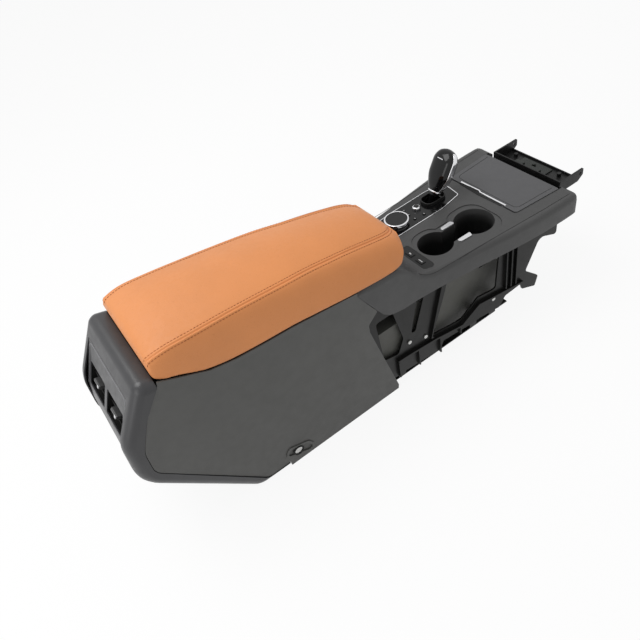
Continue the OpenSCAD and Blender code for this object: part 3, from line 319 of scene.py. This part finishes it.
def smooth_table(table):
    """A curve through the (x, y) points of a table that doesn't overshoot between them."""
    xs = [p[0] for p in table]
    ys = [p[1] for p in table]
    d = [(ys[i + 1] - ys[i]) / (xs[i + 1] - xs[i]) for i in range(len(xs) - 1)]
    inner = [0.0 if a * b <= 0 else 2 * a * b / (a + b) for a, b in zip(d, d[1:])]
    m = [d[0]] + inner + [d[-1]]

    def f(x):
        x = min(max(x, xs[0]), xs[-1])
        i = 0
        while i < len(d) - 1 and x > xs[i + 1]:
            i += 1
        h = xs[i + 1] - xs[i]
        t = (x - xs[i]) / h
        return (ys[i] * (1 + 2 * t) * (1 - t) ** 2 + h * m[i] * t * (1 - t) ** 2
                + ys[i + 1] * t * t * (3 - 2 * t) + h * m[i + 1] * t * t * (t - 1))

    return f


# Armrest's tables along the console, mm: its lower edge, seam and crown by height, and half its width
# at the seam; LOW_HALF is added to ARM_HALF at the lower edge
ARM_LOW = smooth_table([
    (110, 450), (112, 443), (150, 424), (200, 399), (250, 388), (310, 382), (370, 378),
    (440, 369), (520, 359), (607, 353), (628, 354), (645, 369), (654, 382), (660, 396)])
ARM_SEAM = smooth_table([
    (110, 462), (116, 475), (155, 481), (199, 478), (290, 469), (387, 457), (436, 450),
    (487, 440), (540, 430), (596, 417), (645, 404), (660, 397.5)])
ARM_CROWN = smooth_table([
    (110, 468), (114, 476), (122, 483), (140, 488), (180, 492), (240, 490), (300, 484),
    (400, 471), (500, 452), (600, 429), (645, 414), (654, 406), (660, 398.5)])
SEAM_HALF = smooth_table([
    (110, 101), (155, 104), (290, 97), (387, 91), (487, 82), (596, 75), (628, 71), (645, 64),
    (654, 54), (660, 40)])
LOW_HALF = smooth_table([
    (110, -7), (116, -3), (132, 0), (500, -1), (607, -2), (628, -5), (645, -14), (654, -30),
    (660, -52)])
ARM_HALF = 120


def bezier(a, b, c, t):
    return tuple(p * (1 - t) ** 2 + q * 2 * t * (1 - t) + r * t * t for p, q, r in zip(a, b, c))


def arm_half_section(x, across):
    """Point (y, z) of the armrest's left half: lower edge at across = 0, seam at 1, crown at 2."""
    wb = ARM_HALF + LOW_HALF(x)
    zb = ARM_LOW(x)
    ws = SEAM_HALF(x)
    zs = ARM_SEAM(x)
    zt = ARM_CROWN(x)
    foot = min(4, (zs - zb) / 4)
    if across <= 1:
        return bezier((wb, zb + foot), (ws + 0.62 * (wb - ws), zs), (ws, zs), across)
    return bezier((ws, zs), (ws * 0.45, zt), (0, zt), across - 1)


def mesh_object(name, verts, faces, mat, body, smooth=True):
    me = bpy.data.meshes.new(name)
    me.from_pydata([tuple(v) for v in verts], [], faces)
    bm = bmesh.new()
    bm.from_mesh(me)
    bmesh.ops.remove_doubles(bm, verts=bm.verts, dist=1e-6)
    bmesh.ops.recalc_face_normals(bm, faces=bm.faces)
    bm.to_mesh(me)
    bm.free()
    for p in me.polygons:
        p.use_smooth = smooth
    o = bpy.data.objects.new(name, me)
    bpy.context.scene.collection.objects.link(o)
    me.materials.append(mat)
    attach(o, body)
    return o


# Armrest cushion: one closed skin with sewn creases
STATIONS = [110, 110.4, 111, 112, 113.5, 115.5, 118, 121, 125, 130, 136]
STATIONS += range(142, 632, 4)
STATIONS += [634, 638, 641.5, 644.5, 647, 649, 651, 653, 654.5, 656, 657.2, 658.2, 659, 659.6, 660]
ACROSS = [0.0, 0.04, 0.1, 0.18, 0.28, 0.4, 0.52, 0.62, 0.7, 0.76, 0.8, 0.84, 0.87, 0.9, 0.92, 0.94, 0.96,
          0.975, 0.99, 1.0, 1.006, 1.014, 1.022, 1.03, 1.038, 1.048, 1.06, 1.075, 1.095, 1.12, 1.16,
          1.22, 1.3, 1.4, 1.5, 1.6, 1.7, 1.8, 1.9, 2.0]
ROW_OFF = 6.5  # distance of each stitch row from the crease, mm


def section_points(x):
    """The left half section with crease and rows pressed in; returns a list of (y, z)."""
    raw = [arm_half_section(x, a) for a in ACROSS]
    seam = ACROSS.index(1.0)
    run = [0.0] * len(raw)
    for i in range(seam + 1, len(raw)):
        run[i] = run[i - 1] + math.dist(raw[i], raw[i - 1])
    for i in range(seam - 1, -1, -1):
        run[i] = run[i + 1] - math.dist(raw[i], raw[i + 1])
    out = []
    for i, (y, z) in enumerate(raw):
        j = min(max(i, 1), len(raw) - 2)
        ty, tz = raw[j + 1][0] - raw[j - 1][0], raw[j + 1][1] - raw[j - 1][1]
        n = math.hypot(ty, tz)
        ny, nz = tz / n, -ty / n
        if ny * y + nz * 50 < 0:
            ny, nz = -ny, -nz
        s = run[i]
        press = -1.5 * math.exp(-((s / 1.5) ** 2))
        press -= 0.5 * math.exp(-(((abs(s) - ROW_OFF) / 1.2) ** 2))
        press += 0.5 * math.exp(-(((abs(s) - ROW_OFF / 2) / 2.2) ** 2))
        k = 0.8 if x < 114 else (0.6 if x > 655 else 1.0)
        out.append((y + ny * press * k, z + nz * press * k))
    return out


def build_cushion():
    verts = []
    rows = []
    for x in STATIONS:
        half = section_points(x)
        zb = ARM_LOW(x)
        left = [(half[0][0] - 3, zb)] + half
        full = left + [(-y, z) for y, z in reversed(left[:-1])]
        row = []
        for y, z in full:
            row.append(len(verts))
            verts.append(pt(x, y, z))
        rows.append(row)
    faces = []
    n = len(rows[0])
    for a, b in zip(rows, rows[1:]):
        for i in range(n):
            j = (i + 1) % n
            faces.append((a[i], a[j], b[j], b[i]))
    faces.append(tuple(rows[0]))
    faces.append(tuple(reversed(rows[-1])))
    return mesh_object("armrest_cushion", verts, faces, TAN, "lid")


cushion = build_cushion()
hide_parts("lid_cushion")


def surface_run(x, offset):
    """Point of the armrest's left side at a distance from the seam, measured along its section."""
    prev = arm_half_section(x, 1.0)
    left = abs(offset)
    step = 0.01 if offset > 0 else -0.02
    a = 1.0
    while 0.02 < a < 1.98:
        a += step
        p = arm_half_section(x, a)
        d = math.dist(p, prev)
        if d >= left:
            t = left / d
            return (prev[0] + (p[0] - prev[0]) * t, prev[1] + (p[1] - prev[1]) * t)
        left -= d
        prev = p
    return prev


def stitch_row(name, offset, side, pitch=6.2, length=4.6):
    """A row of sewn stitches as small pressed-in capsules along the seam."""
    path = []
    x = 112.5
    while x <= 657:
        y, z = surface_run(x, offset)
        path.append(pt(x, side * y, z))
        x += 0.8 if x < 125 or x > 640 else 2.0
    verts, faces = [], []
    ring = 6
    radius = 0.62 * MM
    total = [0.0]
    for a, b in zip(path, path[1:]):
        total.append(total[-1] + (b - a).length)

    def along(s):
        for i in range(len(path) - 1):
            if total[i + 1] >= s:
                t = (s - total[i]) / (total[i + 1] - total[i])
                return path[i].lerp(path[i + 1], t)
        return path[-1]

    s = 1.0 * MM
    while s + length * MM < total[-1]:
        knots = [along(s + length * MM * k / 4) for k in range(5)]
        axis = (knots[-1] - knots[0]).normalized()
        u = axis.cross(Vector((0, 0, 1))).normalized()
        v = axis.cross(u)
        base = len(verts)
        for k, c in enumerate(knots):
            w = radius * (0.35, 0.9, 1.0, 0.9, 0.35)[k]
            for i in range(ring):
                ang = 2 * math.pi * i / ring
                verts.append(c + u * math.cos(ang) * w + v * math.sin(ang) * w)
        for k in range(4):
            for i in range(ring):
                j = (i + 1) % ring
                a, b = base + k * ring, base + (k + 1) * ring
                faces.append((a + i, a + j, b + j, b + i))
        faces.append(tuple(base + i for i in range(ring)))
        faces.append(tuple(base + 4 * ring + i for i in reversed(range(ring))))
        s += pitch * MM
    return mesh_object(name, verts, faces, THREAD, "lid")


for side, tag in ((1, "left"), (-1, "right")):
    stitch_row("stitches_inner_" + tag, ROW_OFF, side)
    stitch_row("stitches_outer_" + tag, -ROW_OFF, side)


def ribbon(name, path, width, thick, mat, body, up=None, closed=False):
    """A strip of rectangular section swept along points given in millimetres."""
    pts = [Vector(p) for p in path]
    n = len(pts)
    up = Vector(up or (0, 0, 1))
    verts, faces = [], []
    for i, p in enumerate(pts):
        a = pts[(i - 1) % n] if closed or i else p
        b = pts[(i + 1) % n] if closed or i < n - 1 else p
        side = (b - a).normalized().cross(up).normalized() * (width / 2)
        lift = up.normalized() * (thick / 2)
        for q in (p + side * 0.75 + lift, p - side * 0.75 + lift, p - side, p - side - lift, p + side - lift, p + side):
            verts.append(pt(*q))
    for i in range(n if closed else n - 1):
        a, b = i * 6, ((i + 1) % n) * 6
        for k in range(6):
            faces.append((a + k, a + (k + 1) % 6, b + (k + 1) % 6, b + k))
    if not closed:
        faces.append(tuple(range(6)))
        faces.append(tuple(range(6 * n - 1, 6 * n - 7, -1)))
    return mesh_object(name, verts, faces, mat, body, False)


def lathe(name, profile, centre, mat, body, segs=48):
    """A turned piece about an upright axis; the profile runs from the axis outwards and back, (r, z) in mm."""
    verts, faces = [], []
    m = len(profile)
    for k in range(segs):
        a = 2 * math.pi * k / segs
        for r, z in profile:
            verts.append(pt(centre[0] + r * math.cos(a), centre[1] + r * math.sin(a), centre[2] + z))
    for k in range(segs):
        a, b = k * m, ((k + 1) % segs) * m
        for i in range(m - 1):
            faces.append((a + i, a + i + 1, b + i + 1, b + i))
    return mesh_object(name, verts, faces, mat, body)


def soft_path(points, radius):
    """Round the inner corners of an open path of (x, y, z) points."""
    out = [Vector(points[0])]
    for a, p, b in zip(points, points[1:], points[2:]):
        a, p, b = Vector(a), Vector(p), Vector(b)
        u, v = a - p, b - p
        r = min(radius, u.length * 0.45, v.length * 0.45)
        s, e = p + u.normalized() * r, p + v.normalized() * r
        for k in range(9):
            t = k / 8
            out.append(s * (1 - t) ** 2 + p * 2 * t * (1 - t) + e * t * t)
    out.append(Vector(points[-1]))
    return out


# Seam line in the deck beside the skirt, and the fine border line of the door
CROWN = smooth_table([(600, 65), (628, 60), (645, 45), (660, 25), (680, 10), (700, 3), (720, 0), (1106, 0)])
for side, tag in ((-1, "right"), (1, "left")):
    line = [(668, side * 96), (674, side * 112), (690, side * 120.5), (707, side * 122.5), (762, side * 123.8),
            (832, side * 127.2), (887, side * 130.6), (924, side * 133), (1015, side * 139), (1092, side * 142)]
    path = soft_path([(x, y, DECK + CROWN(x) + 0.12) for x, y in line], 12)
    ribbon("deck_seam_" + tag, path, 1.5, 0.3, DARK, "console")
door_line = [(1084, -100, 0), (976, -94, 0), (976, 94, 0), (1084, 100, 0)]
door_line = [(p[0], p[1], DECK + 1.6) for p in soft_path(door_line, 14)]
ribbon("door_border", door_line, 1.3, 0.3, DARK, "door")

# Handle: two bright strips that meet in a shallow bend over a dark strip of painted shade in the finger recess
recess_shade_line = [(963.5, 68, DECK + 0.6), (960.5, 8, DECK + 0.6), (963.5, -60, DECK + 0.6)]
ribbon("handle_recess_shade", recess_shade_line, 7, 0.5, DARK, "door")
strip_line = [(967.5, 72, DECK + 2.2), (969.5, 14, DECK + 2.2), (966.5, 8, DECK + 2.2), (968, -70, DECK + 2.2)]
strip = ribbon("handle_strip", strip_line, 4, 1.6, CHROME, "door")
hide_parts("door_handle")

# Small knob: bright rim with a dark cap
dial_profile = [(0, 8.9), (6.2, 8.9), (6.8, 8.3), (6.8, 7.0), (0, 7.0)]
lathe("dial_cap", dial_profile, (827, 74, DECK), SWITCH, "dial")

# Bars on the keys
for k, (x, y) in enumerate(((802, 90), (799, 69), (800, 48), (826, 46))):
    bar = [(x - 0.6, y + 1.8, DECK + 2.1), (x + 0.6, y - 1.8, DECK + 2.1)]
    ribbon("menu_mark_%d" % (k + 1), bar, 1.2, 0.2, MARK, "menu_%d" % (k + 1))
ribbon("seat_mark_1", [(712, -35, DECK + 1.6), (712, -41, DECK + 1.6)], 3, 0.2, MARK, "seat_1")
ribbon("seat_mark_2", [(712, -66, DECK + 1.6), (712, -78, DECK + 1.6)], 2, 0.2, MARK, "seat_2")

# Painted highlights as light lines along the vent bezel and the outlets' edges, and the bright chrome ends of the tabs,
# in the frame of the sloping vent panel
VC, VS = 92 / math.hypot(45, 92), 45 / math.hypot(45, 92)


def vent(x, y, z):
    return (27 + x * VC + z * VS, y, 354 - x * VS + z * VC)


face_up = (-VC, 0, VS)
# Painted highlight along the edge of the vent bezel
edge = soft_path([vent(-1.0, 93, -30), vent(-1.0, 93, 66), vent(-1.0, -93, 66), vent(-1.0, -93, -30)], 16)
ribbon("bezel_highlight", edge, 1.1, 0.8, PAINTED_HIGHLIGHT, "console", face_up)
for s, tag in ((1, "left"), (-1, "right")):
    mid = s * 45
    for k, z in ((2, 28.2), (1, -28.2)):
        # Painted highlights along the outlets' upper and lower edges
        sill = [vent(-0.3, mid + 37, z), vent(-0.3, mid - 37, z)]
        ribbon("outlet_highlight_%s_%d" % (tag, k), sill, 1.0, 0.9, PAINTED_HIGHLIGHT, "console", face_up)
    tab_end = [vent(-3.3, mid - 6, 0), vent(-3.3, mid - 13, 0)]
    ribbon("tab_end_" + tag, tab_end, 6, 1.2, CHROME, "tab_" + tag, face_up)

# Ledge between the vent panel and the lower rear panel
ledge_line = [(10.2, 97, 261.2), (10.2, -97, 261.2)]
ribbon("rear_ledge", ledge_line, 13.5, 2.4, TRIM, "console")

# Grip of the lever: fuller than the CAD core, with a bright band round both sides
LEAN = math.radians(30)
PIVOT = (877 - (DECK + 8 - 245) * math.tan(LEAN), 73.0, 245.0)
GRIP_FROM = 53 / math.cos(LEAN)  # along the lever, mm
LEVER_TIP = 172
PARK_AT = 150
ALONG = (math.sin(LEAN), 0, math.cos(LEAN))
REARWARD = (-math.cos(LEAN), 0, math.sin(LEAN))
GRIP_D = smooth_table([(0, 10), (0.1, 13), (0.25, 19), (0.5, 23.5), (0.75, 23), (0.9, 18), (0.97, 11), (1, 4)])
GRIP_W = smooth_table([(0, 12), (0.1, 16), (0.25, 24), (0.5, 31), (0.75, 31), (0.9, 25), (0.97, 16), (1, 6)])


def lever_mm(x, y, z):
    """A point in the lever's own frame, z along the lever, in millimetres from the rear face."""
    return (PIVOT[0] + x * math.cos(LEAN) + z * math.sin(LEAN), PIVOT[1] + y,
            PIVOT[2] - x * math.sin(LEAN) + z * math.cos(LEAN))


def on_lever(x, y, z):
    return pt(*lever_mm(x, y, z))


def squared(half, part):
    """A slightly squared oval: half an axis times a sine or cosine."""
    return half * math.copysign(abs(part) ** 0.8, part)


def grip_ring(t, grow, angles):
    """Points round the grip at the share t of its length, grown by some mm; the rear side is flatter."""
    h = GRIP_FROM + t * (LEVER_TIP - GRIP_FROM)
    out = []
    for a in angles:
        c, s = math.cos(a), math.sin(a)
        flat = 0.86 if c < 0 else 1.0
        out.append(on_lever(squared(GRIP_D(t) * flat + grow, c), squared(GRIP_W(t) + grow, s), h))
    return out


def build_grip():
    stations = [k / 30 for k in range(29)] + [0.95, 0.965, 0.98, 0.99, 0.996, 1.0]
    n = 48
    turn = [2 * math.pi * k / n for k in range(n)]
    rings = [grip_ring(t, 0, turn) for t in stations]
    foot = []
    for h, r in ((-8, 9), (10, 9), (GRIP_FROM - 26, 7), (GRIP_FROM - 1, 8)):
        foot.append([on_lever(r * math.cos(a), r * math.sin(a), h) for a in turn])
    rings = foot + rings
    verts = [v for r in rings for v in r]
    faces = []
    for a in range(len(rings) - 1):
        for k in range(n):
            faces.append((a * n + k, a * n + (k + 1) % n, (a + 1) * n + (k + 1) % n, (a + 1) * n + k))
    faces.append(tuple(range(n)))
    faces.append(tuple(reversed(range((len(rings) - 1) * n, len(rings) * n))))
    return mesh_object("lever_grip", verts, faces, PIANO, "lever")


def build_band():
    verts, faces = [], []
    stations = [0.1 + 0.86 * k / 28 for k in range(29)]
    for side in (1, -1):
        spread = [math.pi / 2 * side + math.radians(d) for d in (-15, -10, 0, 10, 15)]
        base = len(verts)
        for t in stations:
            verts += grip_ring(t, 0.9, spread) + grip_ring(t, -1.0, spread)
        for i in range(len(stations) - 1):
            a, b = base + i * 10, base + (i + 1) * 10
            for k in range(4):
                faces.append((a + k, a + k + 1, b + k + 1, b + k))
                faces.append((a + 5 + k, b + 5 + k, b + 6 + k, a + 6 + k))
            faces.append((a, b, b + 5, a + 5))
            faces.append((a + 4, a + 9, b + 9, b + 4))
        faces.append(tuple(base + k for k in (0, 5, 6, 7, 8, 9, 4, 3, 2, 1)))
        e = base + (len(stations) - 1) * 10
        faces.append(tuple(e + k for k in (0, 1, 2, 3, 4, 9, 8, 7, 6, 5)))
    return mesh_object("lever_band", verts, faces, CHROME, "lever")


grip = build_grip()
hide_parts("shift_lever")
band = build_band()
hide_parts("lever_trim")
ring_path = [lever_mm(11.5 * math.cos(a), 16.5 * math.sin(a), GRIP_FROM + 12)
             for a in [2 * math.pi * k / 36 for k in range(36)]]
ribbon("lever_ring", ring_path, 3, 3, CHROME, "lever", ALONG, True)

# Thin bright line on the face of the lever that is pressed to park
park_line = [lever_mm(-18.9, y, PARK_AT) for y in (8.5, -8.5)]
mark = ribbon("park_line", park_line, 2.4, 2.6, CHROME, "park", REARWARD)
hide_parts("park_button")

# Dark rim around the slotted clip in each boss
for side, tag in ((-1, "right"), (1, "left")):
    turn = [2 * math.pi * k / 40 for k in range(40)]
    rim = [(297 + 11.6 * math.cos(a), side * 123.2, 36 + 11.6 * math.sin(a)) for a in turn]
    ribbon("clip_rim_" + tag, rim, 3.4, 2.2, DARK, "console", (0, side, 0), True)



def seen(tree):
    """1 for camera, glossy and transmission rays, 0 for the others."""
    rays = tree.nodes.new("ShaderNodeLightPath")
    value = rays.outputs["Is Camera Ray"]
    for kind in ("Is Glossy Ray", "Is Transmission Ray"):
        either = tree.nodes.new("ShaderNodeMath")
        either.operation = "MAXIMUM"
        tree.links.new(value, either.inputs[0])
        tree.links.new(rays.outputs[kind], either.inputs[1])
        value = either.outputs[0]
    return value


# Pale floor: mostly plain white to the eye, so that it meets the white background, and with soft shadows
floor_mesh = bpy.data.meshes.new("floor")
FLOOR_HALF = 14.0
corners = [(sx * FLOOR_HALF, sy * FLOOR_HALF, 0) for sx, sy in ((-1, -1), (1, -1), (1, 1), (-1, 1))]
floor_mesh.from_pydata(corners, [], [(0, 1, 2, 3)])
floor = bpy.data.objects.new("floor", floor_mesh)
bpy.context.scene.collection.objects.link(floor)
fm, ft = new_material("floor_pale")
ft.bsdf.inputs["Base Color"].default_value = (0.9, 0.9, 0.9, 1)
ft.bsdf.inputs["Roughness"].default_value = 0.9
ft.bsdf.inputs["Specular IOR Level"].default_value = 0.1
white = ft.add("ShaderNodeEmission")
white.inputs["Strength"].default_value = 1.0
mixer = ft.add("ShaderNodeMixShader")
part = ft.add("ShaderNodeMath", operation="MULTIPLY")
part.inputs[1].default_value = 0.9
ft.link(seen(ft.t), part.inputs[0])
ft.link(part.outputs[0], mixer.inputs["Fac"])
ft.link(ft.bsdf.outputs[0], mixer.inputs[1])
ft.link(white.outputs[0], mixer.inputs[2])
output = next(n for n in ft.t.nodes if n.type == "OUTPUT_MATERIAL")
ft.link(mixer.outputs[0], output.inputs["Surface"])
floor_mesh.materials.append(fm)

# Surroundings: plain white where they are seen, softer as a light
world = bpy.data.worlds.new("studio")
bpy.context.scene.world = world
world.use_nodes = True
wt = world.node_tree
bg = wt.nodes["Background"]
bg.inputs["Color"].default_value = (1, 1, 1, 1)
bg.inputs["Strength"].default_value = 0.52
show = wt.nodes.new("ShaderNodeBackground")
show.inputs["Color"].default_value = (1, 1, 1, 1)
show.inputs["Strength"].default_value = 1.0
wmix = wt.nodes.new("ShaderNodeMixShader")
wt.links.new(seen(wt), wmix.inputs["Fac"])
wt.links.new(bg.outputs[0], wmix.inputs[1])
wt.links.new(show.outputs[0], wmix.inputs[2])
wt.links.new(wmix.outputs[0], wt.nodes["World Output"].inputs["Surface"])


def area(name, place, aim, size, energy):
    """A soft rectangular lamp at a place, turned to an aim."""
    d = bpy.data.lights.new(name, "AREA")
    d.shape = "RECTANGLE"
    d.size, d.size_y = size
    d.energy = energy
    o = bpy.data.objects.new(name, d)
    o.location = place
    o.rotation_euler = (Vector(aim) - Vector(place)).to_track_quat("-Z", "Y").to_euler()
    bpy.context.scene.collection.objects.link(o)


area("key", (-0.7, 0.6, 2.4), (0, 0, 0.3), (1.6, 1.6), 34)
area("rim", (-1.9, -0.6, 0.9), (-0.4, 0, 0.3), (0.7, 1.4), 7)

# Camera fitted to the photo: its axes (right, down, ahead) and its place in millimetres
AXES = ((0.8071749, -0.5630040, -0.1774689),
        (-0.5131148, -0.5205211, -0.6824742),
        (0.2918594, 0.6419379, -0.7090372))
EYE = pt(84.567, -870.296, 1182.869)
cam_data = bpy.data.cameras.new("camera")
cam_data.lens = 34.875
cam_data.sensor_width = 36.0
cam_data.dof.use_dof = False
camera = bpy.data.objects.new("camera", cam_data)
bpy.context.scene.collection.objects.link(camera)
m = Matrix.Identity(4)
for i in range(3):
    m[i][0] = AXES[0][i]
    m[i][1] = -AXES[1][i]
    m[i][2] = -AXES[2][i]
    m[i][3] = EYE[i]
camera.matrix_world = m
bpy.context.scene.camera = camera
bpy.context.scene.view_settings.view_transform = "Standard"

bpy.context.view_layer.update()
